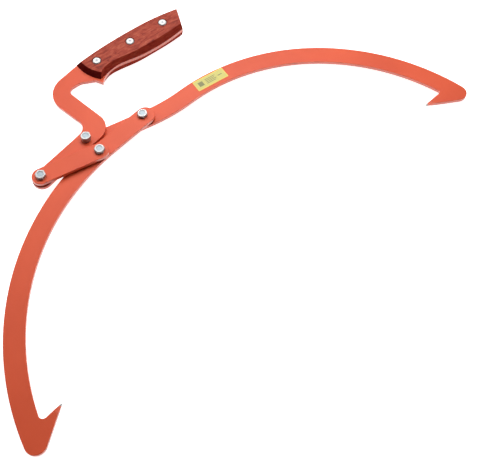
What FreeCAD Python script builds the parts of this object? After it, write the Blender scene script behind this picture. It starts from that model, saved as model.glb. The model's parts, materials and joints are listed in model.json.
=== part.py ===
import FreeCAD, Part
import math
import os

os.makedirs("parts", exist_ok=True)

V = FreeCAD.Vector

# ---- driving dimensions, mm -------------------------------------------------
# plates and the gaps between the three layers
PLATE = 4.0               # thickness of every flat bar
GAP = 1.6                 # space between two neighbouring layers
EDGE_ROUND = 0.42         # broken edge of the flat bars
BAR_HALF = 10.7           # half width of the arms and of the handle bar
LINK_HALF = 10.0          # half width of the short link bar

# four-bar linkage, a parallelogram seen from above, with D as the main pivot
PIVOT_D = V(0.4, 1.0, 0.0)
LONG_LINK = 67.35         # pivot D to A on the right arm, and B to C on the link bar
SHORT_LINK = 66.27        # pivot D to B on the left arm, and A to C on the handle
LONG_LINK_DEG = 166.0     # direction from D to A
SHORT_LINK_DEG = 187.5    # direction from D to B

# M6 hardware
BOLT_R = 3.0
HOLE_R = 3.05
HEX_AF = 10.0
HEAD_H = 4.0
NUT_H = 6.0
NUT_HEX_H = 4.8
COLLAR_R = 4.55
INSERT_R = 3.9
INSERT_H = 1.2
CORNER_CUT = 0.7          # chamfer on the hexagon corners
RIM_STEP = 0.1            # how far that chamfer starts inside and outside the hexagon
DISH_R = 3.5              # shallow dish in the top of a bolt head
DISH_FLOOR_R = 3.0
DISH_H = 0.4
BOLT_END = 0.9            # thread standing out of the nut
END_CHAMFER = 0.6
WASHER_R = 6.0
WASHER_T = 1.5
SPACER_R = 5.0
SPACER_H = 3.0
RUN_GAP = 0.05            # free play above and below a washer

# right arm centreline, a chain of (length, radius); positive radius bends left
RIGHT_START = V(0.5, -1.0, 0.0)
RIGHT_HEADING = -13.9
RIGHT_CHAIN = ((4.6, 0.0), (49.7, 198.0), (177.7, -223.0), (158.7, -245.0))
RIGHT_TAIL = 65.5         # straight end of the arm behind that start, out to pivot A
RIGHT_TIP = V(244.3, -200.6, 0.0)
RIGHT_NOTCH_Y = -200.8
RIGHT_NOTCH_R = 2.8       # fillet where the spike leaves the arm

# left arm centreline
LEFT_START = V(2.6, -0.8, 0.0)
LEFT_HEADING = 184.0
LEFT_CHAIN = ((54.2, 0.0), (348.8, 277.8))
LEFT_TIP = V(-262.4, -200.3, 0.0)
LEFT_NOTCH_Y = -202.6
LEFT_NOTCH_R = 4.4

TIP_GRIND = 9.0           # length of the ground flats at the spike tip
TIP_THICK = 1.4           # thickness left at the very tip
TIP_FLAT = 0.45           # blunted half width of the tip

# handle lever
HANDLE_BAR_DEG = 8.3      # direction of the straight bar
HANDLE_BAR_SHIFT = -0.3   # bar axis above pivot C
END_R = 10.6              # corner radius that makes the bar end almost round
KNEE = (V(-32.3, 11.5, 0.0), 21.0)
NECK_INNER = (V(-40.3, 84.6, 0.0), 7.0)
FINGER_TOP = (V(-22.0, 83.7, 0.0), 14.0)
GUARD_ROOT = (V(-7.3, 74.8, 0.0), 1.5)
TANG_INSIDE = ((V(20.0, 80.0, 0.0), 0.0), (V(20.0, 105.0, 0.0), 0.0))
NECK_TOP = (V(-10.0, 106.6, 0.0), 40.0)
NECK_OUTER = (V(-63.9, 99.3, 0.0), 28.0)
BAR_CORNER = (V(-54.8, 29.3, 0.0), 12.0)
GUARD_TIP = V(-3.5, 66.1, 0.0)
GUARD_HEEL = (-0.5, 68.4)
GUARD_INSIDE = V(10.0, 80.0, 0.0)

# grip: outline at the steel tang and outline of the flat outer face
SCALE_T = 8.0
FACE_SOFT = 0.8           # rounded edge of the outer face
BASE_UPPER = ((-9.7, 106.9), (14.2, 106.0), (51.0, 104.6), (92.5, 100.2), (128.0, 91.8))
BASE_LOWER = (
    (115.6, 65.8), (88.0, 64.7), (66.3, 66.2), (46.7, 69.8), (28.6, 74.6), (10.0, 73.8), (-2.1, 71.9))
BASE_FRONT = (-8.8, 86.9)
FACE_UPPER = ((-6.4, 101.3), (14.2, 102.1), (51.2, 100.9), (92.2, 96.6), (126.4, 88.5))
FACE_LOWER = (
    (115.6, 68.0), (91.8, 68.1), (70.2, 69.6), (49.2, 71.8), (31.1, 75.7), (15.6, 77.9), (1.6, 73.1))
FACE_FRONT = (-4.0, 83.8)

RIVETS = (("inner", 8.0, 90.4), ("middle", 54.1, 87.2), ("outer", 100.1, 83.7))
RIVET_SEAT_R = 5.5        # recess in the wood around the head
RIVET_SINK = 0.6          # depth of that recess
RIVET_HEAD_R = 4.6
RIVET_HEAD_H = 1.0
RIVET_TUBE_R = 2.5
RIVET_PIN_R = 1.6
RIVET_HOLE_R = 2.55
RIVET_DIMPLE_R = 1.1
RIVET_DIMPLE_H = 0.4
RIVET_TOP_R = 4.0
RIVET_CAP = 1.0           # solid end of the sleeve under its head
PIN_SHORT = 2.0           # how much shorter the pin is than the grip is thick

LABEL_L = 40.0
LABEL_W = 15.0
LABEL_T = 0.2
LABEL_AT = V(91.5, -9.3, 0.0)
LABEL_DEG = -8.6
LABEL_CORNER = 1.0

# ---- layer heights ----------------------------------------------------------
Z_RIGHT = BOLT_END + NUT_H             # bottom of the right arm
Z_MID = Z_RIGHT + PLATE + GAP          # bottom of the left arm and the handle
Z_TOP = Z_MID + PLATE + GAP            # bottom of the link bar

# ---- sizes that only need to be large enough or small enough ----------------
TOOL_LENGTH = 100.0
WEDGE_WIDTH = 40.0
SAME = 1e-6


def polar(length, degrees):
    a = math.radians(degrees)
    return V(length * math.cos(a), length * math.sin(a), 0.0)


def flat_point(pair):
    return V(pair[0], pair[1], 0.0)


PIVOT_A = PIVOT_D + polar(LONG_LINK, LONG_LINK_DEG)
PIVOT_B = PIVOT_D + polar(SHORT_LINK, SHORT_LINK_DEG)
PIVOT_C = PIVOT_A + PIVOT_B - PIVOT_D


# ---- outline helpers --------------------------------------------------------
def walk(start, heading, chain):
    """Points and headings at the joints of a chain of straight and arc pieces."""
    stations = [(start, heading)]
    p, h = start, heading
    for length, radius in chain:
        if radius == 0.0:
            p = p + polar(length, h)
        else:
            centre = p + polar(radius, h + 90.0)
            h = h + math.degrees(length / radius)
            p = centre - polar(radius, h + 90.0)
        stations.append((p, h))
    return stations


def side(station, offset):
    p, h = station
    return p + polar(offset, h + 90.0)


def piece(a, b, radius, length, offset):
    """One edge of a strip beside the centreline piece from station a to b."""
    p, q = side(a, offset), side(b, offset)
    if radius == 0.0:
        return Part.makeLine(p, q)
    centre = a[0] + polar(radius, a[1] + 90.0)
    mid_heading = a[1] + math.degrees(length / radius) / 2.0
    mid = centre - polar(radius - offset, mid_heading + 90.0)
    return Part.Arc(p, mid, q).toShape()


def strip(start, heading, chain, half):
    """Face of constant width along a chain, both ends round."""
    st = walk(start, heading, chain)
    n = len(chain)
    left = [piece(st[i], st[i + 1], chain[i][1], chain[i][0], half) for i in range(n)]
    right = [piece(st[i], st[i + 1], chain[i][1], chain[i][0], -half) for i in range(n)]
    far = Part.Arc(side(st[-1], half), st[-1][0] + polar(half, st[-1][1]), side(st[-1], -half)).toShape()
    near = Part.Arc(side(st[0], -half), st[0][0] - polar(half, st[0][1]), side(st[0], half)).toShape()
    return Part.Face(Part.Wire(left + [far] + right[::-1] + [near]))


def rounded(corners):
    """Face of a polygon whose corners are (point, fillet radius)."""
    n = len(corners)
    cuts = []
    for i in range(n):
        p, r = corners[i]
        a = (corners[i - 1][0] - p).normalize()
        b = (corners[(i + 1) % n][0] - p).normalize()
        half_angle = a.getAngle(b) / 2.0
        reach = r / math.tan(half_angle)
        middle = (a + b).normalize()
        centre = p + middle * (r / math.sin(half_angle))
        cuts.append((p + a * reach, centre - middle * r, p + b * reach, r))
    edges = []
    for i in range(n):
        s, m, e, r = cuts[i]
        if r > 0.0:
            edges.append(Part.Arc(s, m, e).toShape())
        nxt = cuts[(i + 1) % n][0]
        if (nxt - e).Length > SAME:
            edges.append(Part.makeLine(e, nxt))
    return Part.Face(Part.Wire(edges))


def raise_face(face, z, height):
    solid = face.extrude(V(0, 0, height))
    solid.translate(V(0, 0, z))
    return solid


def bore(solid, at, radius):
    tool = Part.makeCylinder(radius, TOOL_LENGTH, V(at.x, at.y, -TOOL_LENGTH / 2.0))
    return solid.cut(tool)


def break_edges(solid, z, thick, radius):
    """Round the rim of a flat bar, top and bottom."""
    rim = []
    for e in solid.Edges:
        box = e.BoundBox
        flat = box.ZLength < SAME
        level = abs(box.ZMin - z) < SAME or abs(box.ZMin - z - thick) < SAME
        if flat and level and e.Length > 2.0 * radius:
            rim.append(e)
    return solid.makeFillet(radius, rim)


# ---- hook arms --------------------------------------------------------------
def hook_solid(start, heading, chain, tip, notch_y, inward, z):
    """Arm strip with the back-pointing spike grown from its round end."""
    body = raise_face(strip(start, heading, chain, BAR_HALF), z, PLATE)
    end = walk(start, heading, chain)[-1][0]
    reach = end - tip
    lean = math.degrees(math.asin(BAR_HALF / reach.Length))
    line_deg = math.degrees(math.atan2(reach.y, reach.x))
    touch_len = math.sqrt(reach.Length ** 2 - BAR_HALF ** 2)
    touch = tip + polar(touch_len, line_deg + inward * lean)
    notch = V(end.x, notch_y, 0.0)
    spike_dir = (tip - notch).normalize()
    across = V(-spike_dir.y, spike_dir.x, 0.0) * TIP_FLAT
    if across.y < 0.0:
        across = across * -1.0
    outline = Part.makePolygon([tip + across, tip - across, touch, end, notch, tip + across])
    spike = raise_face(Part.Face(outline), z, PLATE)
    inner_side = Part.makeLine(tip + across, notch)
    inner_side.translate(V(0, 0, z))
    return body.fuse(spike).removeSplitter(), spike_dir, inner_side


def grind(solid, tip, spike_dir, z):
    """Two sloping flats that thin the spike towards its tip."""
    depth = (PLATE - TIP_THICK) / 2.0
    profile = Part.makePolygon([V(0, 0, 0), V(TIP_GRIND, 0, 0), V(TIP_GRIND, 0, -depth), V(0, 0, 0)])
    wedge = Part.Face(profile).extrude(V(0, WEDGE_WIDTH, 0))
    wedge.translate(V(-TIP_GRIND, -WEDGE_WIDTH / 2.0, 0.0))
    heading = math.degrees(math.atan2(spike_dir.y, spike_dir.x))
    upper = wedge.copy()
    upper.rotate(V(0, 0, 0), V(0, 0, 1), heading)
    upper.translate(V(tip.x, tip.y, z + PLATE))
    lower = wedge.mirror(V(0, 0, 0), V(0, 0, 1))
    lower.rotate(V(0, 0, 0), V(0, 0, 1), heading)
    lower.translate(V(tip.x, tip.y, z))
    return solid.cut(upper).cut(lower)


def notch_edge(solid, inner_side):
    """Upright edge in the throat of the hook, where the spike's inner side meets the arm."""
    tip = inner_side.Vertexes[0].Point
    upright = [e for e in solid.Edges if e.BoundBox.ZLength > PLATE / 2.0]
    on_line = [e for e in upright if e.distToShape(inner_side)[0] < SAME]
    return max(on_line, key=lambda e: (e.Vertexes[0].Point - tip).Length)


def hook_arm(start, heading, chain, tip, notch, inward, z, holes):
    notch_y, notch_r = notch
    solid, spike_dir, inner_side = hook_solid(start, heading, chain, tip, notch_y, inward, z)
    solid = solid.makeFillet(notch_r, [notch_edge(solid, inner_side)])
    solid = break_edges(solid, z, PLATE, EDGE_ROUND)
    for at in holes:
        solid = bore(solid, at, HOLE_R)
    return grind(solid, tip, spike_dir, z)


right_back = RIGHT_START - polar(RIGHT_TAIL, RIGHT_HEADING)
right_chain = ((RIGHT_TAIL + RIGHT_CHAIN[0][0], 0.0),) + RIGHT_CHAIN[1:]
hook_arm_right = hook_arm(
    right_back, RIGHT_HEADING, right_chain, RIGHT_TIP, (RIGHT_NOTCH_Y, RIGHT_NOTCH_R), -1.0,
    Z_RIGHT, (PIVOT_A, PIVOT_D))
hook_arm_left = hook_arm(
    LEFT_START, LEFT_HEADING, LEFT_CHAIN, LEFT_TIP, (LEFT_NOTCH_Y, LEFT_NOTCH_R), 1.0,
    Z_MID, (PIVOT_B, PIVOT_D))

# ---- link bar ---------------------------------------------------------------
link_heading = math.degrees(math.atan2(PIVOT_B.y - PIVOT_C.y, PIVOT_B.x - PIVOT_C.x))
link_bar = raise_face(strip(PIVOT_C, link_heading, ((LONG_LINK, 0.0),), LINK_HALF), Z_TOP, PLATE)
link_bar = break_edges(link_bar, Z_TOP, PLATE, EDGE_ROUND)
link_bar = bore(bore(link_bar, PIVOT_B, HOLE_R), PIVOT_C, HOLE_R)


# ---- handle lever -----------------------------------------------------------
def spline(points):
    curve = Part.BSplineCurve()
    curve.interpolate([V(x, y, 0.0) for x, y in points])
    return curve.toShape()


def grip_wire(upper, lower, front):
    """Closed outline: upper curve, butt end, lower curve, curved front."""
    butt = Part.makeLine(flat_point(upper[-1]), flat_point(lower[0]))
    nose = Part.Arc(flat_point(lower[-1]), flat_point(front), flat_point(upper[0])).toShape()
    return Part.Wire([spline(upper), butt, spline(lower), nose])


bar_axis = polar(1.0, HANDLE_BAR_DEG)
bar_normal = polar(1.0, HANDLE_BAR_DEG + 90.0)
bar_root = PIVOT_C + bar_normal * HANDLE_BAR_SHIFT - bar_axis * BAR_HALF
lever = rounded((
    (bar_root + bar_normal * BAR_HALF, END_R),
    (bar_root - bar_normal * BAR_HALF, END_R),
    KNEE, NECK_INNER, FINGER_TOP, GUARD_ROOT) + TANG_INSIDE + (NECK_TOP, NECK_OUTER, BAR_CORNER))
guard = Part.Face(Part.makePolygon([
    GUARD_ROOT[0], GUARD_TIP, flat_point(GUARD_HEEL), GUARD_INSIDE, GUARD_ROOT[0]]))
tang = Part.Face(grip_wire(BASE_UPPER, BASE_LOWER[:-1] + (GUARD_HEEL,), BASE_FRONT))
bar_and_neck = break_edges(raise_face(lever, Z_MID, PLATE), Z_MID, PLATE, EDGE_ROUND)
handle_plate = bar_and_neck.fuse([raise_face(f, Z_MID, PLATE) for f in (tang, guard)]).removeSplitter()
handle_plate = bore(bore(handle_plate, PIVOT_A, HOLE_R), PIVOT_C, HOLE_R)
for name, x, y in RIVETS:
    handle_plate = bore(handle_plate, V(x, y, 0.0), RIVET_HOLE_R)

# ---- grip scales ------------------------------------------------------------
base = grip_wire(BASE_UPPER, BASE_LOWER, BASE_FRONT)
face = grip_wire(FACE_UPPER, FACE_LOWER, FACE_FRONT)
face.translate(V(0, 0, SCALE_T))
grip_scale_front = Part.makeLoft([base, face], True, True)
face_rim = [e for e in grip_scale_front.Edges if e.BoundBox.ZMin > SCALE_T - FACE_SOFT]
grip_scale_front = grip_scale_front.makeFillet(FACE_SOFT, face_rim)
grip_scale_front.translate(V(0, 0, Z_MID + PLATE))
for name, x, y in RIVETS:
    grip_scale_front = bore(grip_scale_front, V(x, y, 0.0), RIVET_HOLE_R)
    recess = Part.makeCylinder(RIVET_SEAT_R, SCALE_T, V(x, y, Z_MID + PLATE + SCALE_T - RIVET_SINK))
    grip_scale_front = grip_scale_front.cut(recess)
grip_scale_rear = grip_scale_front.mirror(V(0, 0, Z_MID + PLATE / 2.0), V(0, 0, 1))

# ---- rivets: a headed sleeve from the front, a headed pin from the rear -----
z_front = Z_MID + PLATE + SCALE_T - RIVET_SINK
z_rear = Z_MID - SCALE_T + RIVET_SINK


def rivet(x, y):
    depth = z_front - z_rear
    head = Part.makeCone(RIVET_HEAD_R, RIVET_TOP_R, RIVET_HEAD_H, V(x, y, z_front))
    z_dimple = z_front + RIVET_HEAD_H - RIVET_DIMPLE_H
    dimple = Part.makeCylinder(RIVET_DIMPLE_R, RIVET_DIMPLE_H, V(x, y, z_dimple))
    tube = Part.makeCylinder(RIVET_TUBE_R, depth, V(x, y, z_rear))
    hollow = Part.makeCylinder(RIVET_PIN_R + RUN_GAP, depth - RIVET_CAP, V(x, y, z_rear))
    sleeve = head.cut(dimple).fuse(tube.cut(hollow)).removeSplitter()
    rear = Part.makeCone(RIVET_TOP_R, RIVET_HEAD_R, RIVET_HEAD_H, V(x, y, z_rear - RIVET_HEAD_H))
    stem = Part.makeCylinder(RIVET_PIN_R, depth - PIN_SHORT, V(x, y, z_rear))
    return sleeve, rear.fuse(stem).removeSplitter()


# ---- bolts, nuts, inserts, washers ------------------------------------------
def hexagon(at, z, height, turn):
    radius = HEX_AF / math.sqrt(3.0)
    pts = [at + polar(radius, turn + 60.0 * i) for i in range(7)]
    return raise_face(Part.Face(Part.makePolygon(pts)), z, height)


def crown(at, z, height, up):
    """Cylinder with one coned end, which trims the corners of a hexagon there."""
    corner = HEX_AF / math.sqrt(3.0) + RIM_STEP
    rim = HEX_AF / 2.0 - RIM_STEP
    z_cone = z + height - CORNER_CUT if up else z
    z_straight = z if up else z + CORNER_CUT
    straight = Part.makeCylinder(corner, height - CORNER_CUT, V(at.x, at.y, z_straight))
    radii = (corner, rim) if up else (rim, corner)
    return straight.fuse(Part.makeCone(*radii, CORNER_CUT, V(at.x, at.y, z_cone)))


def bolt(at, z_end, z_seat, turn):
    """Bolt with its dished head on top and its chamfered end below."""
    head = hexagon(at, z_seat, HEAD_H, turn).common(crown(at, z_seat, HEAD_H, True))
    dish = Part.makeCone(DISH_FLOOR_R, DISH_R, DISH_H, V(at.x, at.y, z_seat + HEAD_H - DISH_H))
    shank = Part.makeCylinder(BOLT_R, z_seat - z_end - END_CHAMFER, V(at.x, at.y, z_end + END_CHAMFER))
    end = Part.makeCone(BOLT_R - END_CHAMFER, BOLT_R, END_CHAMFER, V(at.x, at.y, z_end))
    return head.cut(dish).fuse([shank, end]).removeSplitter()


def nut(at, z, turn):
    """Self-locking nut, its round collar and the seat of the nylon insert below."""
    collar_h = NUT_H - NUT_HEX_H
    body = hexagon(at, z + collar_h, NUT_HEX_H, turn).common(crown(at, z + collar_h, NUT_HEX_H, False))
    collar = Part.makeCylinder(COLLAR_R, collar_h, V(at.x, at.y, z))
    lip = [e for e in collar.Edges if abs(e.BoundBox.ZMax - z) < SAME and e.BoundBox.ZLength < SAME]
    collar = collar.makeFillet(EDGE_ROUND, lip)
    seat = Part.makeCylinder(INSERT_R, INSERT_H, V(at.x, at.y, z))
    return bore(body.fuse(collar).cut(seat), at, BOLT_R)


def ring(at, z, outer, inner, height):
    return bore(Part.makeCylinder(outer, height, V(at.x, at.y, z)), at, inner)


# name, pivot, bottom of the lower and of the upper plate, spacer under the head, turn of the hexagons
STACKS = (
    ("a", PIVOT_A, Z_RIGHT, Z_MID, SPACER_H, 12.0),
    ("b", PIVOT_B, Z_MID, Z_TOP, 0.0, 28.0),
    ("c", PIVOT_C, Z_MID, Z_TOP, 0.0, 19.0),
    ("d", PIVOT_D, Z_RIGHT, Z_MID, 0.0, 5.0),
)
nodes = {
    "handle_plate": handle_plate,
    "grip_scale_front": grip_scale_front,
    "grip_scale_rear": grip_scale_rear,
    "hook_arm_left": hook_arm_left,
    "hook_arm_right": hook_arm_right,
    "link_bar": link_bar,
}
for name, x, y in RIVETS:
    sleeve, pin = rivet(x, y)
    nodes["rivet_" + name + "_sleeve"] = sleeve
    nodes["rivet_" + name + "_pin"] = pin
for name, at, low, high, spacer, turn in STACKS:
    nodes["bolt_" + name] = bolt(at, low - NUT_H - BOLT_END, high + PLATE + spacer, turn)
    nodes["nut_" + name] = nut(at, low - NUT_H, turn)
    nodes["insert_" + name] = ring(at, low - NUT_H, INSERT_R, BOLT_R, INSERT_H)
    nodes["washer_" + name] = ring(at, low + PLATE + RUN_GAP, WASHER_R, HOLE_R, WASHER_T)
    if spacer > 0.0:
        nodes["spacer_" + name] = ring(at, high + PLATE, SPACER_R, HOLE_R, spacer)

# ---- label on the right arm, trimmed where it would overhang the arm's edge ---
half_l, half_w = LABEL_L / 2.0, LABEL_W / 2.0
corners = ((-half_l, -half_w), (half_l, -half_w), (half_l, half_w), (-half_l, half_w))
label = rounded([(flat_point(corner), LABEL_CORNER) for corner in corners])
label.rotate(V(0, 0, 0), V(0, 0, 1), LABEL_DEG)
label.translate(LABEL_AT)
flat_of_arm = strip(right_back, RIGHT_HEADING, right_chain, BAR_HALF - EDGE_ROUND)
nodes["label_sticker"] = raise_face(label.common(flat_of_arm).Faces[0], Z_RIGHT + PLATE, LABEL_T)

# ---- origin at the bottom centre of the whole object ------------------------
whole = FreeCAD.BoundBox()
for shape in nodes.values():
    whole.add(shape.optimalBoundingBox(False, False))
shift = V(-whole.Center.x, -whole.Center.y, -whole.ZMin)
for name, shape in nodes.items():
    shape.translate(shift)
    shape.exportStep("parts/" + name + ".step")
    print(name, shape.isValid(), len(shape.Solids), round(shape.Volume, 1))
print("shift", round(shift.x, 3), round(shift.y, 3), round(shift.z, 3))
print("size", round(whole.XLength, 2), round(whole.YLength, 2), round(whole.ZLength, 2))
for name, at in (("A", PIVOT_A), ("B", PIVOT_B), ("C", PIVOT_C), ("D", PIVOT_D)):
    print("pivot", name, round(at.x + shift.x, 4), round(at.y + shift.y, 4))
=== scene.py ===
import json
import math

import bpy
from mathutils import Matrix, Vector


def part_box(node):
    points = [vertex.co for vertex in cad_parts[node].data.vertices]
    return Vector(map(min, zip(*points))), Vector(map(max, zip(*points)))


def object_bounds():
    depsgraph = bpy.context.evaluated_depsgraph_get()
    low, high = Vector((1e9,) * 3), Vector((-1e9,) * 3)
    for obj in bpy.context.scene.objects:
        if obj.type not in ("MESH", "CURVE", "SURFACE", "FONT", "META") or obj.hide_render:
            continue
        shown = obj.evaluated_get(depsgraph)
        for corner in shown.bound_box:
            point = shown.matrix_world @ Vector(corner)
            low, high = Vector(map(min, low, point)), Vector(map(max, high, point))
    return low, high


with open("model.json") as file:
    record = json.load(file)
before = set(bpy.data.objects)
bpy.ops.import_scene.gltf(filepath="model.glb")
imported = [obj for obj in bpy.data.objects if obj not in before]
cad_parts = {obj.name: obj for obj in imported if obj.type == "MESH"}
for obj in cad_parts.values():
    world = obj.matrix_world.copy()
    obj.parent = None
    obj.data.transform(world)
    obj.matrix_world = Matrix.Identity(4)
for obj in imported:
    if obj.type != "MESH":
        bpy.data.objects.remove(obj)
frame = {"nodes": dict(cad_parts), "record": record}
cad_low, cad_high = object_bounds()
nodes = frame["nodes"]
record = frame["record"]

MM = 0.001

# ---- camera -----------------------------------------------------------------
TARGET = Vector((-0.01149, -0.12186, 0.01345))
AZIMUTH = -43.0
ELEVATION = 61.0
DISTANCE = 0.8395
LENS = 61.47
SENSOR = 36.0
CLIP_NEAR = 0.01
CLIP_FAR = 50.0

# ---- floor, wall and world --------------------------------------------------
FLOOR_SIZE = 6.0
FLOOR_DROP = 0.2 * MM
FLOOR_GREY = (0.6, 0.6, 0.6, 1.0)
FLOOR_GLOW = 1.0
WHITE = (1.0, 1.0, 1.0, 1.0)
WALL_RADIUS = 2.9
WALL_HEIGHT = 3.0
WALL_PANELS = 48
WORLD_STRENGTH = 0.05

# ---- finish sizes -----------------------------------------------------------
GRAIN_TURN = 8.6
LABEL_TURN = 8.6
SCRATCH_TURN = 30.0
BARE_TIP = 2.5 * MM
TIP_BLUR = 0.5 * MM
TIP_RAGGED = 0.8 * MM
# painted shade ringing each rivet recess in the grip, fading out between these two radii
RIVET_SHADE_INNER = 4.8 * MM
RIVET_SHADE_OUTER = 6.3 * MM
DISH_INNER = 3.1 * MM
DISH_OUTER = 3.7 * MM
MIDDLE_INNER = 1.0 * MM
MIDDLE_OUTER = 1.8 * MM
PAINT_BUMP = 0.01 * MM
PORE_BUMP = 0.03 * MM
METAL_BUMP = 0.004 * MM
PLASTIC_BUMP = 0.01 * MM

# where most values of a noise lie
NOISE_LOW = 0.3
NOISE_HIGH = 0.7

# ---- colours ----------------------------------------------------------------
RED_LIGHT = (0.61, 0.078, 0.025)
RED_DEEP = (0.55, 0.065, 0.020)
RED_FLECK = (0.66, 0.12, 0.05)
STEEL = (0.15, 0.14, 0.135)
WOOD_FIGURE = (
    (0.3, (0.14, 0.017, 0.010)), (0.45, (0.28, 0.038, 0.020)),
    (0.58, (0.34, 0.060, 0.031)), (0.75, (0.44, 0.105, 0.055)))
WOOD_STREAK = (0.13, 0.011, 0.008)
WOOD_PORE = (0.07, 0.008, 0.006)
# painted shade around the rivet recesses
WOOD_RIVET_SHADE = (0.075, 0.014, 0.012)
# painted shade on the sloping bevels and sides of the grip
WOOD_BEVEL_SHADE = (0.17, 0.012, 0.008)
WOOD_END = (0.070, 0.003, 0.004)
ZINC_RIM = ((NOISE_LOW, (0.40, 0.41, 0.42)), (NOISE_HIGH, (0.46, 0.46, 0.45)))
# blue-grey tone darkened with painted shade for the recessed dish of each head
ZINC_DISH_SHADE = (0.26, 0.31, 0.34)
# painted shade on the flanks of heads, nuts, washers and spacer
ZINC_FLANK_SHADE = (0.38, 0.36, 0.35)
NICKEL_FACE = ((NOISE_LOW, (0.44, 0.44, 0.44)), (NOISE_HIGH, (0.50, 0.50, 0.49)))
NICKEL_MIDDLE = (0.30, 0.33, 0.36)
NYLON_MILKY = ((NOISE_LOW, (0.56, 0.63, 0.70)), (NOISE_HIGH, (0.66, 0.72, 0.77)))
YELLOW_DEEP = (0.51, 0.47, 0.14)
YELLOW_LIGHT = (0.56, 0.51, 0.17)
LABEL_BORDER = (0.66, 0.52, 0.12)
LABEL_INK = (0.16, 0.16, 0.09)

# ---- label layout, in mm from its middle: x from, x to, y from, y to ---------
LABEL_FIELD = (-19.0, 19.0, -6.0, 6.0)
LABEL_BLOCK = (-15.5, -9.5, -3.2, 3.2)
LABEL_DASH = (10.0, 15.5, -0.6, 0.6)
ROW_COUNT = 4
ROW_TOP = 3.0
ROW_PITCH = 2.0
ROW_HALF = 0.45
ROW_START = -6.0
ROW_END = 7.5
ROW_SHORTER = 1.7
BAR_BLUR = 0.1


def direction(azimuth, elevation):
    """Unit vector from the object towards a viewer at that azimuth and elevation."""
    turn, lift = math.radians(azimuth), math.radians(elevation)
    level = math.cos(lift)
    return Vector((math.sin(turn) * level, -math.cos(turn) * level, math.sin(lift)))


def place_facing_target(data, name, away, distance):
    """Put a camera or a light at a distance from the target, looking back at it."""
    thing = bpy.data.objects.new(name, data)
    bpy.context.scene.collection.objects.link(thing)
    thing.location = TARGET + away * distance
    thing.rotation_mode = "QUATERNION"
    thing.rotation_quaternion = (-away).to_track_quat("-Z", "Y")
    return thing


def make_camera():
    data = bpy.data.cameras.new("camera")
    data.lens = LENS
    data.sensor_width = SENSOR
    data.clip_start = CLIP_NEAR
    data.clip_end = CLIP_FAR
    camera = place_facing_target(data, "camera", direction(AZIMUTH, ELEVATION), DISTANCE)
    bpy.context.scene.camera = camera


def soft_light(name, azimuth, elevation, distance, size, power):
    data = bpy.data.lights.new(name, "AREA")
    data.shape = "DISK"
    data.size = size
    data.energy = power
    place_facing_target(data, name, direction(azimuth, elevation), distance)


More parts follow.
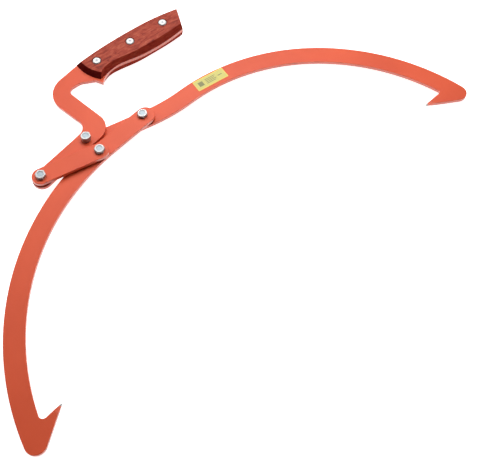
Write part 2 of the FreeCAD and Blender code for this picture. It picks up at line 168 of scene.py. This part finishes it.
# ---- node helpers -----------------------------------------------------------
class Finish:
    """A procedural material: a Principled shader and short calls that add nodes to it."""

    def __init__(self, name, **sockets):
        self.material = bpy.data.materials.new(name)
        self.material.use_nodes = True
        self.tree = self.material.node_tree
        self.shader = self.tree.nodes["Principled BSDF"]
        for key, value in sockets.items():
            self.shader.inputs[key.replace("_", " ")].default_value = value
        coordinates = self.add("ShaderNodeTexCoord")
        self.place = coordinates.outputs["Object"]
        self.facing = coordinates.outputs["Normal"]

    def add(self, kind, **settings):
        node = self.tree.nodes.new(kind)
        for key, value in settings.items():
            setattr(node, key, value)
        return node

    def join(self, output, target):
        self.tree.links.new(output, target)

    def feed(self, node, inputs):
        """Link or set each input of a node."""
        for key, value in inputs.items():
            if isinstance(value, bpy.types.NodeSocket):
                self.join(value, node.inputs[key])
            else:
                node.inputs[key].default_value = value
        return node

    def vector_math(self, operation, first, second):
        node = self.add("ShaderNodeVectorMath", operation=operation)
        return self.feed(node, {0: first, 1: second})

    def mapped(self, centre=(0.0, 0.0, 0.0), turn=0.0, stretch=(1.0, 1.0, 1.0)):
        """Object coordinates from a centre, turned about Z by degrees, then scaled."""
        moved = self.vector_math("SUBTRACT", self.place, tuple(centre))
        turned_place = self.feed(self.add("ShaderNodeMapping"), {
            "Vector": moved.outputs[0],
            "Rotation": (0.0, 0.0, math.radians(turn)),
        })
        scaled = self.vector_math("MULTIPLY", turned_place.outputs[0], tuple(stretch))
        return scaled.outputs[0]

    def noise(self, vector, scale, detail=3.0, roughness=0.5, distortion=0.0):
        node = self.feed(self.add("ShaderNodeTexNoise"), {
            "Vector": vector, "Scale": scale, "Detail": detail,
            "Roughness": roughness, "Distortion": distortion})
        return node.outputs[0]

    def math(self, operation, first, second=0.0):
        node = self.feed(self.add("ShaderNodeMath", operation=operation), {0: first, 1: second})
        return node.outputs[0]

    def span(self, value, low, high, to_low=0.0, to_high=1.0, smooth=False):
        """Map low..high to to_low..to_high, level outside."""
        kind = "SMOOTHSTEP" if smooth else "LINEAR"
        node = self.feed(self.add("ShaderNodeMapRange", interpolation_type=kind), {
            "Value": value, "From Min": low, "From Max": high, "To Min": to_low, "To Max": to_high})
        return node.outputs[0]

    def vary(self, noise, to_low=0.0, to_high=1.0):
        """A value that follows a noise."""
        return self.span(noise, NOISE_LOW, NOISE_HIGH, to_low, to_high)

    def fade(self, value, start, end, smooth=False):
        """1 up to start, 0 past end."""
        return self.span(value, start, end, 1.0, 0.0, smooth)

    def ramp(self, value, stops):
        node = self.add("ShaderNodeValToRGB")
        while len(node.color_ramp.elements) < len(stops):
            node.color_ramp.elements.new(0.5)
        for element, (position, color) in zip(node.color_ramp.elements, stops):
            element.position = position
            element.color = (*color, 1.0)
        self.join(value, node.inputs[0])
        return node.outputs[0]

    def mix(self, factor, base, color):
        """The base where the factor is 0 and a plain colour where it is 1."""
        node = self.add("ShaderNodeMix", data_type="RGBA")
        opaque_base = base if isinstance(base, bpy.types.NodeSocket) else (*base, 1.0)
        self.feed(node, {0: factor, 6: opaque_base, 7: (*color, 1.0)})
        return node.outputs[2]

    def tint(self, base, color, mask, strength):
        """Lay a colour over the base where the mask is 1, at that strength."""
        return self.mix(self.math("MULTIPLY", mask, strength), base, color)

    def radius(self, centre):
        """Distance from the upright line through a centre."""
        length = self.add("ShaderNodeVectorMath", operation="LENGTH")
        self.feed(length, {0: self.mapped(centre=centre, stretch=(1.0, 1.0, 0.0))})
        return length.outputs["Value"]

    def split(self, vector):
        """The three components of a vector."""
        axes = self.add("ShaderNodeSeparateXYZ")
        self.join(vector, axes.inputs[0])
        return axes.outputs

    def upright(self):
        """How far the surface faces straight up or down, 0 on a wall and 1 on a flat."""
        return self.math("ABSOLUTE", self.split(self.facing)[2])

    def bump(self, height, distance, strength):
        node = self.feed(self.add("ShaderNodeBump"), {
            "Height": height, "Distance": distance, "Strength": strength})
        return node.outputs[0]

    def output(self, **sockets):
        for key, value in sockets.items():
            self.join(value, self.shader.inputs[key.replace("_", " ")])


# ---- the finishes -----------------------------------------------------------
def painted(name, tip=None):
    """Stoved orange-red enamel with glossier sheared edges; a spike tip is bare steel."""
    finish = Finish(name, Coat_Roughness=0.1, Coat_IOR=1.65, Specular_IOR_Level=0.26)
    cloud = finish.noise(finish.place, scale=14.0, detail=2.0)
    fine = finish.noise(finish.place, scale=300.0, roughness=0.6)
    base = finish.mix(finish.span(cloud, low=0.35, high=0.65), RED_DEEP, RED_LIGHT)
    base = finish.mix(finish.vary(fine, to_low=0.0, to_high=0.04), base, RED_FLECK)
    rough = finish.vary(fine, to_low=0.42, to_high=0.48)
    orange_peel = finish.noise(finish.place, scale=620.0, detail=2.0, roughness=0.4)
    normal = finish.bump(orange_peel, PAINT_BUMP, strength=0.3)
    if tip is not None:
        reach = finish.vector_math("DISTANCE", finish.place, tuple(tip)).outputs["Value"]
        ragged = finish.math("ADD", reach, finish.span(fine, 0.2, 0.8, -TIP_RAGGED, TIP_RAGGED))
        bare = finish.fade(ragged, BARE_TIP - TIP_BLUR, BARE_TIP + TIP_BLUR, smooth=True)
        base = finish.mix(bare, base, STEEL)
        finish.output(Metallic=finish.math("MULTIPLY", bare, 0.6))
    glaze = finish.fade(finish.upright(), start=0.2, end=0.6)
    finish.output(Base_Color=base, Roughness=rough, Normal=normal, Coat_Weight=glaze)
    return finish.material


def rosewood(name, rivets):
    """Varnished rosewood: mottled figure, dark streaks and short pores along the grip."""
    finish = Finish(name)
    along = finish.mapped(turn=GRAIN_TURN, stretch=(1.0, 3.0, 3.0))
    figure = finish.noise(along, scale=90.0, detail=5.0, roughness=0.65, distortion=0.8)
    along = finish.mapped(turn=GRAIN_TURN, stretch=(0.8, 12.0, 9.0))
    streaks = finish.noise(along, scale=75.0, detail=4.0, roughness=0.6, distortion=0.3)
    along = finish.mapped(turn=GRAIN_TURN, stretch=(1.0, 13.0, 13.0))
    pores = finish.noise(along, scale=240.0, detail=2.0)
    base = finish.ramp(figure, WOOD_FIGURE)
    dark = finish.span(streaks, low=0.50, high=0.68, to_low=0.0, to_high=0.6)
    base = finish.mix(dark, base, WOOD_STREAK)
    pits = finish.span(pores, low=0.62, high=0.72, smooth=True)
    base = finish.tint(base, WOOD_PORE, pits, strength=0.6)
    # painted shade ringing each rivet recess
    for centre in rivets:
        rivet_shade = finish.span(finish.radius(centre), RIVET_SHADE_INNER, RIVET_SHADE_OUTER, 0.75, 0.0, smooth=True)
        base = finish.mix(rivet_shade, base, WOOD_RIVET_SHADE)
    # painted shade on the steep bevels and sides
    steep_shade = finish.fade(finish.upright(), start=0.8, end=0.97)
    base = finish.tint(base, WOOD_BEVEL_SHADE, steep_shade, strength=0.55)
    end = finish.fade(finish.split(finish.facing)[0], start=-0.6, end=-0.3)
    base = finish.tint(base, WOOD_END, end, strength=0.8)
    shine = finish.span(finish.upright(), low=0.8, high=0.97, to_low=0.0, to_high=0.1)
    rough = finish.vary(streaks, to_low=0.40, to_high=0.52)
    normal = finish.bump(finish.math("SUBTRACT", 1.0, pits), PORE_BUMP, strength=0.4)
    finish.output(Base_Color=base, Roughness=rough, Normal=normal, Specular_IOR_Level=shine)
    return finish.material


def zinc(name, centre):
    """Bright zinc plate: a pale rim on each flat end, a blue-grey dish darkened with painted shade,
    and flanks darkened with painted shade.
    """
    finish = Finish(name, Metallic=0.3)
    patch = finish.noise(finish.mapped(centre=centre), scale=260.0)
    brushed = finish.mapped(centre=centre, turn=SCRATCH_TURN, stretch=(1.0, 8.0, 3.0))
    scratch = finish.noise(brushed, scale=700.0)
    # the dish gets a blue-grey tone darkened with painted shade
    dish = finish.fade(finish.radius(centre), DISH_INNER, DISH_OUTER)
    base = finish.ramp(patch, ZINC_RIM)
    base = finish.mix(dish, base, ZINC_DISH_SHADE)
    # painted shade on every flank
    base = finish.mix(finish.fade(finish.upright(), start=0.3, end=0.8), base, ZINC_FLANK_SHADE)
    rough = finish.vary(scratch, to_low=0.34, to_high=0.42)
    normal = finish.bump(scratch, METAL_BUMP, strength=0.2)
    finish.output(Base_Color=base, Roughness=rough, Normal=normal)
    return finish.material


def turned(name, centre):
    """Nickel rivet head with the fine rings that turning leaves and a darker middle."""
    finish = Finish(name, Metallic=0.3)
    local = finish.mapped(centre=centre)
    ring = finish.feed(finish.add("ShaderNodeTexWave", wave_type="RINGS", rings_direction="Z"), {
        "Vector": local, "Scale": 900.0, "Distortion": 0.4, "Detail": 2.0})
    smudge = finish.noise(local, scale=300.0)
    middle = finish.fade(finish.radius(centre), MIDDLE_INNER, MIDDLE_OUTER)
    base = finish.mix(middle, finish.ramp(smudge, NICKEL_FACE), NICKEL_MIDDLE)
    rough = finish.vary(smudge, to_low=0.38, to_high=0.46)
    normal = finish.bump(ring.outputs[1], METAL_BUMP, strength=0.3)
    finish.output(Base_Color=base, Roughness=rough, Normal=normal)
    return finish.material


def nylon(name):
    """Milky nylon with a fine grain."""
    finish = Finish(name, Subsurface_Weight=0.15, Subsurface_Scale=1.0 * MM)
    grain = finish.noise(finish.place, scale=800.0)
    base = finish.ramp(grain, NYLON_MILKY)
    rough = finish.vary(grain, to_low=0.42, to_high=0.55)
    normal = finish.bump(grain, PLASTIC_BUMP, strength=0.3)
    finish.output(Base_Color=base, Roughness=rough, Normal=normal)
    return finish.material


def printed_label(name, node):
    """Pale yellow vinyl with a thin border and plain abstract bars."""
    low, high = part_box(node)
    finish = Finish(name, Specular_IOR_Level=0.15)
    axes = finish.split(finish.mapped(centre=(low + high) / 2.0, turn=LABEL_TURN))
    speck = finish.noise(finish.place, scale=700.0)

    def bar(x_from, x_to, y_from, y_to):
        """1 inside a rectangle on the label, 0 outside."""
        inside = None
        for value, start, end in ((axes[0], x_from, x_to), (axes[1], y_from, y_to)):
            middle, half = (start + end) / 2.0 * MM, (end - start) / 2.0 * MM
            near = finish.math("ABSOLUTE", finish.math("SUBTRACT", value, middle))
            step = finish.fade(near, half - BAR_BLUR * MM, half + BAR_BLUR * MM)
            inside = step if inside is None else finish.math("MULTIPLY", inside, step)
        return inside

    field = bar(*LABEL_FIELD)
    marks = bar(*LABEL_BLOCK)
    for row in range(ROW_COUNT):
        y_row = ROW_TOP - ROW_PITCH * row
        x_end = ROW_END - ROW_SHORTER * (row % 2)
        line = bar(ROW_START, x_end, y_row - ROW_HALF, y_row + ROW_HALF)
        marks = finish.math("MAXIMUM", marks, line)
    marks = finish.math("MAXIMUM", marks, bar(*LABEL_DASH))
    yellow = finish.mix(finish.vary(speck), YELLOW_DEEP, YELLOW_LIGHT)
    border = finish.mix(finish.math("SUBTRACT", 1.0, field), yellow, LABEL_BORDER)
    base = finish.tint(border, LABEL_INK, marks, strength=0.85)
    rough = finish.vary(speck, to_low=0.38, to_high=0.5)
    normal = finish.bump(speck, PLASTIC_BUMP, strength=0.2)
    finish.output(Base_Color=base, Roughness=rough, Normal=normal)
    return finish.material


def dress(node, material):
    """Give a CAD node its material."""
    thing = nodes[node]
    thing.data.materials.clear()
    thing.data.materials.append(material)


# ---- dress the CAD nodes ----------------------------------------------------
mount_places = {mount["name"]: mount["pos_m"] for mount in record["mounts"]}
enamel = painted("red_enamel")
for node in ("handle_plate", "link_bar"):
    dress(node, enamel)
for side in ("left", "right"):
    tipped_enamel = painted("red_enamel_" + side, mount_places[side + "_spike"])
    dress("hook_arm_" + side, tipped_enamel)
rivets = {}
for place in ("inner", "middle", "outer"):
    low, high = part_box("rivet_" + place + "_sleeve")
    rivets[place] = (low + high) / 2.0
wood = rosewood("varnished_rosewood", rivets.values())
for side in ("front", "rear"):
    dress("grip_scale_" + side, wood)
nylon_finish = nylon("milky_nylon")
for letter in "abcd":
    low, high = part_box("bolt_" + letter)
    plate_finish = zinc("bright_zinc_" + letter, (low + high) / 2.0)
    dress("bolt_" + letter, plate_finish)
    dress("nut_" + letter, plate_finish)
    dress("washer_" + letter, plate_finish)
    dress("insert_" + letter, nylon_finish)
    if letter == "a":
        dress("spacer_a", plate_finish)
for place, centre in rivets.items():
    head = turned("turned_nickel_" + place, centre)
    dress("rivet_" + place + "_sleeve", head)
    dress("rivet_" + place + "_pin", head)
dress("label_sticker", printed_label("yellow_vinyl", "label_sticker"))

# ---- floor, wall, light, camera ---------------------------------------------
floor_finish = Finish("studio_floor", Base_Color=FLOOR_GREY, Roughness=0.9,
                      Emission_Color=WHITE, Emission_Strength=FLOOR_GLOW)


def studio_piece(name, corners, faces):
    """A mesh in the plain studio finish."""
    mesh = bpy.data.meshes.new(name)
    mesh.from_pydata(corners, [], faces)
    mesh.materials.append(floor_finish.material)
    thing = bpy.data.objects.new(name, mesh)
    bpy.context.scene.collection.objects.link(thing)
    return thing


half = FLOOR_SIZE / 2.0
ground = cad_low.z - FLOOR_DROP
floor_corners = [
    (-half, -half, ground), (half, -half, ground),
    (half, half, ground), (-half, half, ground)]
floor = studio_piece("floor", floor_corners, [(0, 1, 2, 3)])

# a round wall that only the camera sees, so that low views look at a white studio too
wall_corners = []
for height in (ground, ground + WALL_HEIGHT):
    for panel in range(WALL_PANELS):
        angle = math.tau * panel / WALL_PANELS
        wall_corners.append((WALL_RADIUS * math.cos(angle), WALL_RADIUS * math.sin(angle), height))
wall_faces = []
for panel in range(WALL_PANELS):
    following = (panel + 1) % WALL_PANELS
    wall_faces.append((panel, following, WALL_PANELS + following, WALL_PANELS + panel))
wall = studio_piece("wall", wall_corners, wall_faces)
wall.visible_diffuse = False
wall.visible_glossy = False
wall.visible_shadow = False

world = bpy.data.worlds.new("studio")
world.use_nodes = True
world.node_tree.nodes["Background"].inputs[0].default_value = WHITE
world.node_tree.nodes["Background"].inputs[1].default_value = WORLD_STRENGTH
bpy.context.scene.world = world
bpy.context.scene.view_settings.view_transform = "Standard"

soft_light("key", azimuth=115.0, elevation=62.0, distance=1.05, size=0.6, power=8.3)
soft_light("back_key", azimuth=150.0, elevation=47.0, distance=1.3, size=0.8, power=8.5)
soft_light("left_strip", azimuth=200.0, elevation=35.0, distance=1.1, size=0.5, power=3.0)
make_camera()
